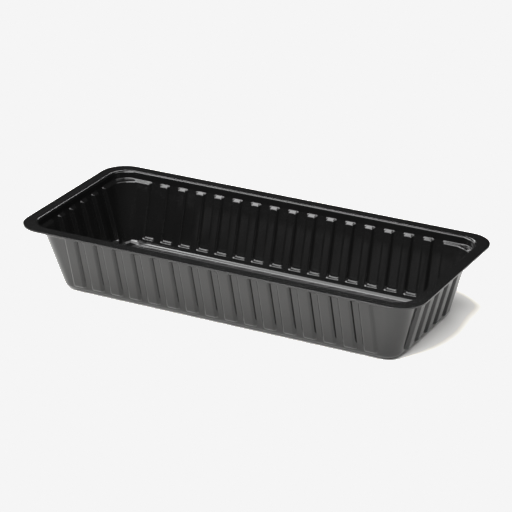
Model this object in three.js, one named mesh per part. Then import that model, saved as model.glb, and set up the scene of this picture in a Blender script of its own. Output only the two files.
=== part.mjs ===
// An empty black plastic food tray, thermoformed in one piece from thin sheet: a flat flange all
// round, a plain band below it, ribbed walls that lean in towards the floor, and a flat base.
// Millimetres, +Z up, +X along the tray. The origin is the centre of the base's underside.
//
// The tray is one sheet. Its inside face is a stack of closed rings, from the edge of the floor up
// to the flange's rim, and its outside face is the same stack one sheet thickness further out.

import * as THREE from 'three';

// Overall size and sheet
const LENGTH = 265;
const WIDTH = 120;
const HEIGHT = 44.5;
const SHEET = 0.7;

// Flange: how far it is flat, the round of its inner edge, and its turned-down rim
const FLANGE_FLAT = 6.8;
const INNER_EDGE_ROUND = 1.3;
const RIM_DEPTH = 0.9;

// Plain band between the flange and the ribs
const LEDGE_BACK_Z = 39.9;
const LEDGE_BACK_INSET = 8.4;

// Ribbed wall: flutes stand out to the band's level, ribs and corner panels stand in
const LEDGE_DROP = 1.2;
const WALL_DRAFT = THREE.MathUtils.degToRad(15);
const RELIEF = 2;
const PITCH = 13;
const FLUTES_ALONG = 16;
const FLUTES_ACROSS = 5;
const FLUTE_BACK_HALF_WIDTH = 2.95;
const FLUTE_MOUTH_HALF_WIDTH = 4.25;
const SOFT_EDGE = 0.4;

// Foot of the flutes, and the round between wall and floor
const FOOT_LEDGE_Z = 5.3;
const FLOOR_ROUND_RADIUS = 4.9;
const FLOOR_ROUND_STEPS = 4;

// Corner radii in plan
const FLANGE_CORNER_RADIUS = 16.5;
const BAND_CORNER_RADIUS = 12;
const PANEL_TOP_CORNER_RADIUS = 12;
const PANEL_FOOT_CORNER_RADIUS = 8.7;
const FLOOR_CORNER_RADIUS = 6.5;
const CORNER_STEPS = 7;

const QUARTER = Math.PI / 2;

// How far the flutes' level lies in from the flange's outer edge, at height z on the ribbed wall.
function wallInset(z) {
  return LEDGE_BACK_INSET + (LEDGE_BACK_Z - z) * Math.tan(WALL_DRAFT);
}

// A row of a profile: inset from the flange's outer edge, height, and corner radius in plan.
function row(inset, z, cornerRadius) {
  return { inset, z, cornerRadius };
}

// The concave round from the flat floor up to the faces of the ribs and panels, tangent to both.
function floorRound() {
  const sweep = QUARTER - WALL_DRAFT;
  const sharpInset = wallInset(SHEET) + RELIEF;
  const centreInset = sharpInset + FLOOR_ROUND_RADIUS * Math.tan(sweep / 2);
  const rows = [row(centreInset + FLOOR_CORNER_RADIUS, SHEET, 1)];
  for (let step = 0; step <= FLOOR_ROUND_STEPS; step += 1) {
    const share = step / FLOOR_ROUND_STEPS;
    const turn = sweep * share;
    rows.push(row(
      centreInset - FLOOR_ROUND_RADIUS * Math.sin(turn),
      SHEET + FLOOR_ROUND_RADIUS * (1 - Math.cos(turn)),
      THREE.MathUtils.lerp(FLOOR_CORNER_RADIUS, PANEL_FOOT_CORNER_RADIUS, share),
    ));
  }
  return rows;
}

// The convex round from the band to the flat of the flange, from the band upwards.
function innerEdgeRound() {
  return [QUARTER, QUARTER / 2, 0].map((turn) => row(
    FLANGE_FLAT + INNER_EDGE_ROUND * Math.sin(turn),
    HEIGHT - INNER_EDGE_ROUND * (1 - Math.cos(turn)),
    BAND_CORNER_RADIUS,
  ));
}

// The inside face's profile from the floor's edge up to the flange's outer edge, at the flutes'
// backs (relief 0) or at the rib faces and corner panels (relief RELIEF).
function insideProfile(relief) {
  const ledgeFrontZ = LEDGE_BACK_Z - LEDGE_DROP;
  return {
    belowRibs: floorRound(),
    ribbed: [
      row(wallInset(FOOT_LEDGE_Z) + relief, FOOT_LEDGE_Z, PANEL_FOOT_CORNER_RADIUS),
      row(wallInset(ledgeFrontZ) + relief, ledgeFrontZ, PANEL_TOP_CORNER_RADIUS),
      row(LEDGE_BACK_INSET, LEDGE_BACK_Z, BAND_CORNER_RADIUS),
    ],
    aboveRibs: [...innerEdgeRound(), row(0, HEIGHT, FLANGE_CORNER_RADIUS)],
  };
}

// The same profile, one sheet thickness further out. Each corner keeps its centre in plan.
function outsideRows(rows) {
  return rows.map((here, index) => {
    const before = rows[Math.max(index - 1, 0)];
    const after = rows[Math.min(index + 1, rows.length - 1)];
    const normals = [[before, here], [here, after]]
      .filter(([from, to]) => from !== to)
      .map(([from, to]) => new THREE.Vector2(-(to.z - from.z), to.inset - from.inset).normalize());
    const mitre = normals.reduce((sum, normal) => sum.clone().add(normal)).normalize();
    mitre.multiplyScalar(SHEET / mitre.dot(normals[0]));
    return row(here.inset + mitre.x, here.z + mitre.y, here.cornerRadius - mitre.x);
  });
}

// Points across one flute: distance along the wall from its centre line, and share of the relief.
// The corners of its section are softened by short bevels.
function fluteSection() {
  const slope = new THREE.Vector2(FLUTE_MOUTH_HALF_WIDTH - FLUTE_BACK_HALF_WIDTH, RELIEF).normalize();
  const bevelAlong = SOFT_EDGE * slope.x;
  const bevelDepth = SOFT_EDGE * slope.y / RELIEF;
  const half = [
    { along: FLUTE_BACK_HALF_WIDTH - SOFT_EDGE, depth: 0 },
    { along: FLUTE_BACK_HALF_WIDTH + bevelAlong, depth: bevelDepth },
    { along: FLUTE_MOUTH_HALF_WIDTH - bevelAlong, depth: 1 - bevelDepth },
    { along: FLUTE_MOUTH_HALF_WIDTH + SOFT_EDGE, depth: 1 },
  ];
  const mirrored = half.map(({ along, depth }) => ({ along: -along, depth })).reverse();
  return [...mirrored, { along: 0, depth: 0 }, ...half];
}

// Stations of one straight wall. On the outside face a flute is wider by the sheet's thickness.
function wallStations(wall, fluteCount) {
  const slopeAngle = Math.atan2(RELIEF, FLUTE_MOUTH_HALF_WIDTH - FLUTE_BACK_HALF_WIDTH);
  const widening = SHEET * Math.tan(slopeAngle / 2);
  const stations = [];
  for (let flute = 0; flute < fluteCount; flute += 1) {
    const centre = (flute - (fluteCount - 1) / 2) * PITCH;
    for (const { along, depth } of fluteSection()) {
      const side = Math.sign(along);
      stations.push({ wall, along: centre + along, widening: side * widening, depth, side });
    }
  }
  return stations;
}

// Stations of the corner that follows a wall. Corner panels stand in as far as the ribs.
function cornerStations(wall) {
  const stations = [];
  for (let step = 0; step <= CORNER_STEPS; step += 1) {
    stations.push({ wall, turn: QUARTER * step / CORNER_STEPS, depth: 1 });
  }
  return stations;
}

// All stations, anticlockwise from the corner after the +X wall. Wall 0 stands at +X, wall 1 at +Y,
// wall 2 at -X and wall 3 at -Y.
function allStations() {
  const stations = [];
  for (let wall = 0; wall < 4; wall += 1) {
    const nextWall = (wall + 1) % 4;
    const fluteCount = nextWall % 2 === 0 ? FLUTES_ACROSS : FLUTES_ALONG;
    stations.push(...cornerStations(wall), ...wallStations(nextWall, fluteCount));
  }
  return stations.map((station, order) => ({ ...station, order }));
}

// The stations of a plain ring: those of the corners, and the centre line of each flute.
function plainStations(stations) {
  return stations.filter((station) => station.turn !== undefined || station.side === 0);
}

// The point of a station on a ring. Each wall is laid out facing +X, and then turned into place.
function stationPoint(station, { inset, z, cornerRadius }, outside) {
  const turned = station.wall % 2 === 1;
  const reach = (turned ? WIDTH : LENGTH) / 2 - inset;
  const halfSpan = (turned ? LENGTH : WIDTH) / 2 - inset;
  const point = new THREE.Vector3(reach, 0, z);
  if (station.turn === undefined) {
    point.y = station.along + (outside ? station.widening : 0);
  } else {
    point.x += cornerRadius * (Math.cos(station.turn) - 1);
    point.y = halfSpan + cornerRadius * (Math.sin(station.turn) - 1);
  }
  return point.applyAxisAngle(new THREE.Vector3(0, 0, 1), station.wall * QUARTER);
}

function mixRows(flute, rib, share) {
  return row(
    THREE.MathUtils.lerp(flute.inset, rib.inset, share),
    THREE.MathUtils.lerp(flute.z, rib.z, share),
    THREE.MathUtils.lerp(flute.cornerRadius, rib.cornerRadius, share),
  );
}

// One ring: a point for each station, at the flutes' or the ribs' level or between them.
function ring(stations, fluteRow, ribRow, outside) {
  return stations.map((station) => ({
    order: station.order,
    point: stationPoint(station, mixRows(fluteRow, ribRow, station.depth), outside),
  }));
}

// The rings of one face, from the floor up. Only those that the ribs reach need all stations.
function faceRings(stations, outside) {
  const plain = plainStations(stations);
  const [flute, rib] = [insideProfile(0), insideProfile(RELIEF)].map((profile) => {
    const rows = [...profile.belowRibs, ...profile.ribbed, ...profile.aboveRibs];
    return outside ? outsideRows(rows) : rows;
  });
  const { belowRibs, ribbed } = insideProfile(0);
  const firstRibbed = belowRibs.length - 1;
  const lastRibbed = belowRibs.length + ribbed.length - 1;
  return flute.map((fluteRow, index) => {
    const isRibbed = index >= firstRibbed && index <= lastRibbed;
    return ring(isRibbed ? stations : plain, fluteRow, rib[index], outside);
  });
}

// The turned-down rim: the rings between the flange's top and its underside.
function rimRings(stations) {
  const plain = plainStations(stations);
  const rimFoot = HEIGHT - RIM_DEPTH;
  const rows = [
    row(0, rimFoot, FLANGE_CORNER_RADIUS),
    row(SHEET, rimFoot, FLANGE_CORNER_RADIUS - SHEET),
    row(SHEET, HEIGHT - SHEET, FLANGE_CORNER_RADIUS - SHEET),
  ];
  return rows.map((rimRow) => ring(plain, rimRow, rimRow, false));
}

// The middle of a ring's step from one station to the next, in station order. After the last step
// it is endless, so that the other ring catches up.
function stepMiddle(points, index, stationCount) {
  if (index >= points.length) return Infinity;
  const next = index + 1 < points.length ? points[index + 1].order : stationCount;
  return (points[index].order + next) / 2;
}

// Joins two rings that may have different stations. Both start at the same station, and the ring
// whose next step has the earlier middle goes first.
function stitch(lower, upper, stationCount, addTriangle) {
  let i = 0;
  let j = 0;
  while (i < lower.length || j < upper.length) {
    const below = lower[i % lower.length].point;
    const above = upper[j % upper.length].point;
    if (stepMiddle(lower, i, stationCount) <= stepMiddle(upper, j, stationCount)) {
      i += 1;
      addTriangle(below, above, lower[i % lower.length].point);
    } else {
      j += 1;
      addTriangle(below, above, upper[j % upper.length].point);
    }
  }
}

// A flat lid over a ring, seen from the side that the ring runs anticlockwise about.
function lid(points, addTriangle) {
  const centre = new THREE.Vector3(0, 0, points[0].z);
  points.forEach((point, index) => addTriangle(centre, point, points[(index + 1) % points.length]));
}

function trayGeometry() {
  const stations = allStations();
  const inside = faceRings(stations, false);
  const outside = faceRings(stations, true).slice(0, -1);
  const rings = [...inside, ...rimRings(stations), ...outside.reverse()];
  const corners = [];
  const addTriangle = (a, b, c) => corners.push(a, b, c);
  for (let index = 0; index + 1 < rings.length; index += 1) {
    stitch(rings[index], rings[index + 1], stations.length, addTriangle);
  }
  lid(rings[0].map(({ point }) => point), addTriangle);
  lid(rings.at(-1).map(({ point }) => point).reverse(), addTriangle);
  const geometry = new THREE.BufferGeometry().setFromPoints(corners);
  geometry.computeVertexNormals();
  return geometry;
}

const blackPlastic = new THREE.MeshStandardMaterial({ color: 0x17171a, roughness: 0.3, metalness: 0 });

const tray = new THREE.Mesh(trayGeometry(), blackPlastic);
tray.name = 'tray';

const object = new THREE.Group();
object.add(tray);

export default object;
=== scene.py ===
# An empty black plastic food tray on a pale floor, under soft studio light.
# The tray is one thermoformed sheet, modelled as a fine grid: rings of its profile, from the floor
# up to the rim and down again outside, each with a point for every station round the tray.

import math

import bpy
import numpy as np
from mathutils import Matrix, Vector


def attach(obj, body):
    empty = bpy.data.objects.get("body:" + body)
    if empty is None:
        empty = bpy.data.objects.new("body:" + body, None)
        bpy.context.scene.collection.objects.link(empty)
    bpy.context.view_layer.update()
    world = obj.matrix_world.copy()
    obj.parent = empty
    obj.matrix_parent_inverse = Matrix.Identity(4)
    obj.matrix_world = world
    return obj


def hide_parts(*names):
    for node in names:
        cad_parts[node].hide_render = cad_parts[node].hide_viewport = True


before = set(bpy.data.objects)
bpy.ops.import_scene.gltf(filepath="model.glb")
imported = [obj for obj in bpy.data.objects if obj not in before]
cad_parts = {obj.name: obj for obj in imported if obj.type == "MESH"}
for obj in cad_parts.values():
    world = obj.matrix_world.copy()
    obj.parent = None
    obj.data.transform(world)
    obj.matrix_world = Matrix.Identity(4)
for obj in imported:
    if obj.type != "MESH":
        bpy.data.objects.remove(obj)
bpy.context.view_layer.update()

MM = 0.001

# Overall size and sheet, in millimetres
LENGTH = 265.0
WIDTH = 120.0
HEIGHT = 44.5
SHEET = 0.7

# Flange, its inner edge and its turned-down rim
FLANGE_FLAT = 6.8
INNER_EDGE_ROUND = 1.3
RIM_DEPTH = 0.9
RIM_ROUND = 0.06
RIM_TOP_INSET = 0.3

# Plain band, ledges over the ribs, and ribbed wall
LEDGE_BACK_Z = 39.9
LEDGE_BACK_INSET = 8.4
LEDGE_DROP = 1.2
WALL_DRAFT = math.radians(15.0)
RELIEF = 2.0
PITCH = 13.0
FLUTES_ALONG = 16
FLUTES_ACROSS = 5
FLUTE_BACK_HALF_WIDTH = 2.95
FLUTE_MOUTH_HALF_WIDTH = 4.25

# Foot ledges of the flutes, and the round between wall and floor
FOOT_LEDGE_Z = 5.1
FLOOR_ROUND_RADIUS = 4.9

# Corner radii in plan
FLANGE_CORNER_RADIUS = 16.5
BAND_CORNER_RADIUS = 12.0
PANEL_TOP_CORNER_RADIUS = 12.0
PANEL_FOOT_CORNER_RADIUS = 8.7
FLOOR_CORNER_RADIUS = 6.5

# How far each soft edge reaches from the sharp corner that it rounds
BACK_EDGE_REACH = 0.45
MOUTH_EDGE_REACH = 0.48
LEDGE_FRONT_REACH = 0.5
LEDGE_BACK_REACH = 0.45
FOOT_FRONT_REACH = 0.6
FOOT_BACK_REACH = 1.4

# The least room between the last flute of a wall and the round of its corner. Nearer the floor the
# corners take more of the wall, so the stations move together there.
CORNER_CLEARANCE = 0.3

# Fineness of the grid
CORNER_STEPS = 14
SOFT_STEPS = 4
FLOOR_ROUND_STEPS = 8
EDGE_ROUND_STEPS = 6
RIM_ROUND_STEPS = 2
FLOOR_RINGS = (0.2, 0.45, 0.7, 0.9)
WALL_RINGS = (0.05, 0.25, 0.5, 0.75, 0.93)

# How far the flange's rings lie in from its edge
FLANGE_RINGS = (6.5, 5.2, 3.2, 1.4)

# Black plastic: its tone and roughness vary a little, by a noise of this scale
PLASTIC_IOR = 1.5
PLASTIC_TONES = (0.0035, 0.0055)
PLASTIC_ROUGHNESS = (0.08, 0.12)
MOTTLE_SCALE = 60.0
MOTTLE_DETAIL = 3.0

# Fine grain in the plastic's surface, its height in metres
GRAIN_SCALE = 6000.0
GRAIN_DETAIL = 2.0
GRAIN_STRENGTH = 0.05
GRAIN_HEIGHT = 0.0001

# Pale floor, its half size in metres
FLOOR_HALF_SIZE = 12.0
FLOOR_COLOUR = (0.78, 0.773, 0.758, 1.0)
FLOOR_ROUGHNESS = 0.9

# How far the softboxes stand from the tray, in metres
LIGHT_DISTANCE = 2.6

# Softboxes: name, azimuth, elevation, wide, high (all in degrees) and brightness
SOFTBOXES = (
    ("softbox_left", 200, 42.5, 38, 20, 10),
    ("softbox_front", 280, 44.5, 46, 26, 11),
    ("softbox_high", 172, 64, 16, 11, 8),
    ("softbox_above", 245, 66, 40, 46, 5),
    ("softbox_side", 182, 23, 70, 28, 2.5),
    ("softbox_back", 124, 33, 20, 5, 9),
    ("softbox_fill", 350, 60, 50, 30, 3),
)

# The room is dark, so that the plastic mirrors little besides the softboxes and the floor
ROOM_GREY = 0.02

# Tones up to the first value stay as they are. From the second on, light shows as the pale tone.
TONES_KEPT_TO = 0.6
PALE_FROM = 0.68
PALE_TONE = 0.913
COMBINED_CURVE = 3

# Camera, solved from the tray's edges, ribs and ledges in the photograph. Its direction is in
# degrees, and its distance, lens, sensor and target's offsets are in millimetres.
CAMERA_AZIMUTH = 27.954
CAMERA_ELEVATION = 23.39
CAMERA_DISTANCE = 1474.656
CAMERA_LENS = 172.66
CAMERA_SENSOR = 36.0
TARGET_RIGHT = 1.075
TARGET_UP = 6.183

QUARTER = math.pi / 2


def mix(a, b, share):
    return a + (b - a) * share


def wall_inset(z):
    """How far the flutes' level lies in from the flange's edge, at height z."""
    return LEDGE_BACK_INSET + (LEDGE_BACK_Z - z) * math.tan(WALL_DRAFT)


def softened(before, corner, after, reach, steps):
    """Points of a smooth bend in place of a sharp corner, as a quadratic curve."""
    before, corner, after = (np.array(p, float) for p in (before, corner, after))
    start = corner + (before - corner) / np.linalg.norm(before - corner) * reach
    end = corner + (after - corner) / np.linalg.norm(after - corner) * reach
    shares = np.linspace(0.0, 1.0, steps + 1)[:, None]
    return (1 - shares) ** 2 * start + 2 * shares * (1 - shares) * corner + shares**2 * end


def floor_round_rows():
    """The concave round from the flat floor up to the ribs' and panels' faces.

    Each row is its inset from the flange's edge, its height and its corner radius.
    """
    sweep = QUARTER - WALL_DRAFT
    centre = wall_inset(SHEET) + RELIEF + FLOOR_ROUND_RADIUS * math.tan(sweep / 2)
    rows = []
    for share in np.linspace(0.0, 1.0, FLOOR_ROUND_STEPS + 1):
        turn = sweep * share
        inset = centre - FLOOR_ROUND_RADIUS * math.sin(turn)
        z = SHEET + FLOOR_ROUND_RADIUS * (1 - math.cos(turn))
        rows.append((inset, z, mix(FLOOR_CORNER_RADIUS, PANEL_FOOT_CORNER_RADIUS, share)))
    return rows


def panel_corner_radius(z):
    """Corner radius of the ribs' and panels' level, which widens towards the top."""
    top = LEDGE_BACK_Z - LEDGE_DROP
    share = np.clip((z - FOOT_LEDGE_Z) / (top - FOOT_LEDGE_Z), 0.0, 1.0)
    return mix(PANEL_FOOT_CORNER_RADIUS, PANEL_TOP_CORNER_RADIUS, share)


def foot_rows(on_rib):
    """Rows from the end of the floor's round, over the foot ledge, to the wall above it.

    The ribs have no foot ledge, so their rows lie evenly on the straight wall.
    """
    start_z = floor_round_rows()[-1][1]
    front_z = start_z + FOOT_FRONT_REACH
    start = (wall_inset(start_z) + RELIEF, start_z)
    front = (wall_inset(front_z) + RELIEF, front_z)
    back = (wall_inset(FOOT_LEDGE_Z), FOOT_LEDGE_Z)
    above = (LEDGE_BACK_INSET, LEDGE_BACK_Z)
    bends = [
        *softened(start, front, back, FOOT_FRONT_REACH, SOFT_STEPS)[1:],
        *softened(front, back, above, FOOT_BACK_REACH, SOFT_STEPS),
    ]
    if not on_rib:
        return bends
    heights = np.linspace(start_z, bends[-1][1], len(bends) + 1)[1:]
    return [np.array((wall_inset(z) + RELIEF, z)) for z in heights]


def profile(on_rib):
    """The inside face's rows from the floor's edge up to the flange's edge.

    They are those of the ribs and corner panels, or else those of the flutes' backs.
    """
    relief = RELIEF if on_rib else 0.0
    ledge_front_z = LEDGE_BACK_Z - LEDGE_DROP
    ledge_front = (wall_inset(ledge_front_z) + relief, ledge_front_z)
    ledge_back = (LEDGE_BACK_INSET, LEDGE_BACK_Z)
    band_top = (FLANGE_FLAT + INNER_EDGE_ROUND, HEIGHT - INNER_EDGE_ROUND)

    wall = foot_rows(on_rib)
    foot_top = wall[-1]
    for share in WALL_RINGS:
        wall.append(mix(foot_top, np.array(ledge_front), share))
    wall.extend(softened(foot_top, ledge_front, ledge_back, LEDGE_FRONT_REACH, SOFT_STEPS))
    wall.extend(softened(ledge_front, ledge_back, band_top, LEDGE_BACK_REACH, SOFT_STEPS))
    rows = floor_round_rows() + [(inset, z, panel_corner_radius(z)) for inset, z in wall]

    for turn in np.linspace(QUARTER, 0.0, EDGE_ROUND_STEPS + 1):
        inset = FLANGE_FLAT + INNER_EDGE_ROUND * math.sin(turn)
        z = HEIGHT - INNER_EDGE_ROUND * (1 - math.cos(turn))
        rows.append((inset, z, BAND_CORNER_RADIUS))
    for inset in FLANGE_RINGS:
        share = 1 - inset / FLANGE_FLAT
        rows.append((inset, HEIGHT, mix(BAND_CORNER_RADIUS, FLANGE_CORNER_RADIUS, share)))
    return np.array(rows, float)


def rim_rows():
    """The turned-down rim, from the flange's top round to its underside."""
    foot = HEIGHT - RIM_DEPTH
    rows = [(RIM_TOP_INSET, HEIGHT)]
    for turn in np.linspace(0.0, QUARTER, RIM_ROUND_STEPS + 1):
        inset = RIM_ROUND * (1 - math.sin(turn))
        rows.append((inset, HEIGHT - RIM_ROUND * (1 - math.cos(turn))))
    for turn in np.linspace(0.0, QUARTER, RIM_ROUND_STEPS + 1):
        inset = RIM_ROUND * (1 - math.cos(turn))
        rows.append((inset, foot + RIM_ROUND * (1 - math.sin(turn))))
    rows.append((SHEET - RIM_ROUND, foot))
    rows.append((SHEET, foot + RIM_ROUND))
    return np.array([(inset, z, FLANGE_CORNER_RADIUS - inset) for inset, z in rows], float)


def flute_section():
    """Points across half a flute: distance from its centre line, and share of the relief."""
    back = (FLUTE_BACK_HALF_WIDTH, 0.0)
    mouth = (FLUTE_MOUTH_HALF_WIDTH, RELIEF)
    points = list(softened((0.0, 0.0), back, mouth, BACK_EDGE_REACH, SOFT_STEPS))
    points += list(softened(back, mouth, (PITCH / 2, RELIEF), MOUTH_EDGE_REACH, SOFT_STEPS))
    return [(along, depth / RELIEF) for along, depth in points]


def stations():
    """All stations round the tray: wall, distance along it or turn in its corner, and relief."""
    half = flute_section()
    across_flute = [(-a, d) for a, d in reversed(half)] + [(0.0, 0.0)] + half
    found = []
    for wall in range(4):
        for turn in np.linspace(0.0, QUARTER, CORNER_STEPS + 1):
            found.append((wall, np.nan, turn, 1.0))
        following = (wall + 1) % 4
        count = FLUTES_ACROSS if following % 2 == 0 else FLUTES_ALONG
        for flute in range(count):
            centre = (flute - (count - 1) / 2) * PITCH
            for along, depth in across_flute:
                found.append((following, centre + along, 0.0, depth))
            if flute + 1 < count:
                found.append((following, centre + PITCH / 2, 0.0, 1.0))
    return np.array(found, float)


def grid_of(flute_rows, rib_rows, found):
    """Points of every row at every station, as an array of rows by stations by 3."""
    wall, along, turn, depth = found.T
    rows = flute_rows[:, None, :] + (rib_rows - flute_rows)[:, None, :] * depth[None, :, None]
    inset, z, radius = rows[..., 0], rows[..., 1], rows[..., 2]
    lengthwise = wall % 2 == 1
    reach = np.where(lengthwise, WIDTH, LENGTH)[None, :] / 2 - inset
    half_span = np.where(lengthwise, LENGTH, WIDTH)[None, :] / 2 - inset
    in_corner = np.isnan(along)[None, :]
    out = np.where(in_corner, reach + radius * (np.cos(turn) - 1), reach)
    straight = np.nan_to_num(along)
    last = np.where(lengthwise, straight[lengthwise].max(), straight[~lengthwise].max())
    squeeze = np.minimum(1.0, (half_span - radius - CORNER_CLEARANCE) / last[None, :])
    side = np.where(in_corner, half_span + radius * (np.sin(turn) - 1), straight * squeeze)
    angle = wall * QUARTER
    x = out * np.cos(angle) - side * np.sin(angle)
    y = out * np.sin(angle) + side * np.cos(angle)
    return np.stack([x, y, z], axis=-1)


def grid_normals(grid, by_area):
    """Normals of a grid that closes round the tray, pointing to the food's side.

    Weighed by area, they lie square to large faces right up to the bends at their edges.
    """
    following = np.roll(grid, -1, axis=1)
    faces = np.cross(following[1:] - grid[:-1], following[:-1] - grid[1:])
    if not by_area:
        faces /= np.linalg.norm(faces, axis=-1, keepdims=True)
    normals = np.zeros_like(grid)
    for part in (faces, np.roll(faces, 1, axis=1)):
        normals[:-1] += part
        normals[1:] += part
    return normals / np.linalg.norm(normals, axis=-1, keepdims=True)


def tray_grid():
    """The whole sheet as one grid of rings, from the floor's middle inside to that outside."""
    found = stations()
    inside = grid_of(profile(on_rib=False), profile(on_rib=True), found)
    rim = grid_of(rim_rows(), rim_rows(), found)
    outside = inside - grid_normals(inside, by_area=False) * SHEET
    outside[0, :, 2] = 0.0
    outside[-1, :, 2] = HEIGHT - SHEET

    def floor_rings(edge):
        centre = np.array([0.0, 0.0, edge[0, 2]])
        return [centre + (edge - centre) * share for share in FLOOR_RINGS]

    rings = floor_rings(inside[0]) + list(inside) + list(rim)
    rings += list(outside[::-1]) + floor_rings(outside[0])[::-1]
    return np.array(rings)


def tray_mesh(name):
    grid = tray_grid()
    rings, count, _ = grid.shape
    index = np.arange(rings * count).reshape(rings, count)
    following = np.roll(index, -1, axis=1)
    quads = np.stack([index[:-1], index[1:], following[1:], following[:-1]], axis=-1)
    faces = [tuple(face) for face in quads.reshape(-1, 4).tolist()]
    faces.append(tuple(index[0].tolist()))
    faces.append(tuple(reversed(index[-1].tolist())))
    mesh = bpy.data.meshes.new(name)
    mesh.from_pydata((grid.reshape(-1, 3) * MM).tolist(), [], faces)
    mesh.validate()
    mesh.update()
    mesh.shade_smooth()
    normals = grid_normals(grid, by_area=True)
    mesh.normals_split_custom_set_from_vertices(normals.reshape(-1, 3).tolist())
    return mesh


def add_noise(tree, place, scale, detail):
    noise = tree.nodes.new("ShaderNodeTexNoise")
    noise.inputs["Scale"].default_value = scale
    noise.inputs["Detail"].default_value = detail
    tree.links.new(place.outputs["Object"], noise.inputs["Vector"])
    return noise.outputs["Fac"]


def add_range(tree, source, ends):
    """Spreads a noise of 0 to 1 between two values."""
    spread = tree.nodes.new("ShaderNodeMapRange")
    spread.inputs["To Min"].default_value = ends[0]
    spread.inputs["To Max"].default_value = ends[1]
    tree.links.new(source, spread.inputs["Value"])
    return spread.outputs["Result"]


def black_plastic():
    """Glossy black plastic with the faint unevenness that forming leaves in the sheet."""
    material = bpy.data.materials.new("tray_plastic")
    material.use_nodes = True
    tree = material.node_tree
    shader = tree.nodes["Principled BSDF"]
    shader.inputs["IOR"].default_value = PLASTIC_IOR
    place = tree.nodes.new("ShaderNodeTexCoord")

    mottle = add_noise(tree, place, MOTTLE_SCALE, MOTTLE_DETAIL)
    tone = add_range(tree, mottle, PLASTIC_TONES)
    colour = tree.nodes.new("ShaderNodeCombineColor")
    for channel in ("Red", "Green", "Blue"):
        tree.links.new(tone, colour.inputs[channel])
    tree.links.new(colour.outputs["Color"], shader.inputs["Base Color"])
    tree.links.new(add_range(tree, mottle, PLASTIC_ROUGHNESS), shader.inputs["Roughness"])

    relief = tree.nodes.new("ShaderNodeBump")
    relief.inputs["Strength"].default_value = GRAIN_STRENGTH
    relief.inputs["Distance"].default_value = GRAIN_HEIGHT
    tree.links.new(add_noise(tree, place, GRAIN_SCALE, GRAIN_DETAIL), relief.inputs["Height"])
    tree.links.new(relief.outputs["Normal"], shader.inputs["Normal"])
    return material


def make_tray():
    tray = bpy.data.objects.new("tray_sheet", tray_mesh("tray_sheet"))
    bpy.context.scene.collection.objects.link(tray)
    tray.data.materials.append(black_plastic())
    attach(tray, "root")
    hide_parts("tray")


def make_floor():
    mesh = bpy.data.meshes.new("floor")
    half = FLOOR_HALF_SIZE
    corners = [(-half, -half, 0.0), (half, -half, 0.0), (half, half, 0.0), (-half, half, 0.0)]
    mesh.from_pydata(corners, [], [(0, 1, 2, 3)])
    floor = bpy.data.objects.new("floor", mesh)
    bpy.context.scene.collection.objects.link(floor)
    material = bpy.data.materials.new("pale_floor")
    material.use_nodes = True
    shader = material.node_tree.nodes["Principled BSDF"]
    shader.inputs["Base Color"].default_value = FLOOR_COLOUR
    shader.inputs["Roughness"].default_value = FLOOR_ROUGHNESS
    mesh.materials.append(material)


def softbox(name, azimuth, elevation, wide, high, brightness):
    """A rectangular softbox that faces the tray.

    Its direction is given in degrees, anticlockwise from +X and up from the floor, and so is the
    angle that it covers as seen from the tray.
    """
    light = bpy.data.lights.new(name, "AREA")
    light.shape = "RECTANGLE"
    light.size = 2 * LIGHT_DISTANCE * math.tan(math.radians(wide) / 2)
    light.size_y = 2 * LIGHT_DISTANCE * math.tan(math.radians(high) / 2)
    light.energy = brightness * math.pi * light.size * light.size_y
    lamp = bpy.data.objects.new(name, light)
    bpy.context.scene.collection.objects.link(lamp)
    turn, rise = math.radians(azimuth), math.radians(elevation)
    direction = Vector(
        (math.cos(turn) * math.cos(rise), math.sin(turn) * math.cos(rise), math.sin(rise))
    )
    lamp.location = Vector((0.0, 0.0, HEIGHT / 2 * MM)) + direction * LIGHT_DISTANCE
    lamp.rotation_euler = direction.to_track_quat("Z", "Y").to_euler()


def make_lights():
    world = bpy.data.worlds.new("studio")
    world.use_nodes = True
    background = world.node_tree.nodes["Background"]
    background.inputs["Color"].default_value = (ROOM_GREY, ROOM_GREY, ROOM_GREY, 1.0)
    bpy.context.scene.world = world
    for values in SOFTBOXES:
        softbox(*values)


def set_view():
    """Shows the bright floor as one even pale tone, as a product photograph does."""
    view = bpy.context.scene.view_settings
    view.view_transform = "Standard"
    view.use_curve_mapping = True
    view.curve_mapping.extend = "HORIZONTAL"
    curve = view.curve_mapping.curves[COMBINED_CURVE]
    curve.points[-1].location = (1.0, PALE_TONE)
    curve.points.new(TONES_KEPT_TO, TONES_KEPT_TO)
    curve.points.new(PALE_FROM, PALE_TONE)
    for point in curve.points:
        point.handle_type = "VECTOR"
    view.curve_mapping.update()


def make_camera():
    azimuth = math.radians(CAMERA_AZIMUTH)
    elevation = math.radians(CAMERA_ELEVATION)
    back = Vector(
        (
            math.sin(azimuth) * math.cos(elevation),
            -math.cos(azimuth) * math.cos(elevation),
            math.sin(elevation),
        )
    )
    right = Vector((math.cos(azimuth), math.sin(azimuth), 0.0))
    up = back.cross(right)
    target = Vector((0.0, 0.0, HEIGHT / 2)) + right * TARGET_RIGHT + up * TARGET_UP
    data = bpy.data.cameras.new("camera")
    data.lens = CAMERA_LENS
    data.sensor_width = CAMERA_SENSOR
    camera = bpy.data.objects.new("camera", data)
    bpy.context.scene.collection.objects.link(camera)
    place = Matrix((right, up, back)).transposed().to_4x4()
    place.translation = (target + back * CAMERA_DISTANCE) * MM
    camera.matrix_world = place
    bpy.context.scene.camera = camera


make_camera()
make_tray()
make_floor()
make_lights()
set_view()
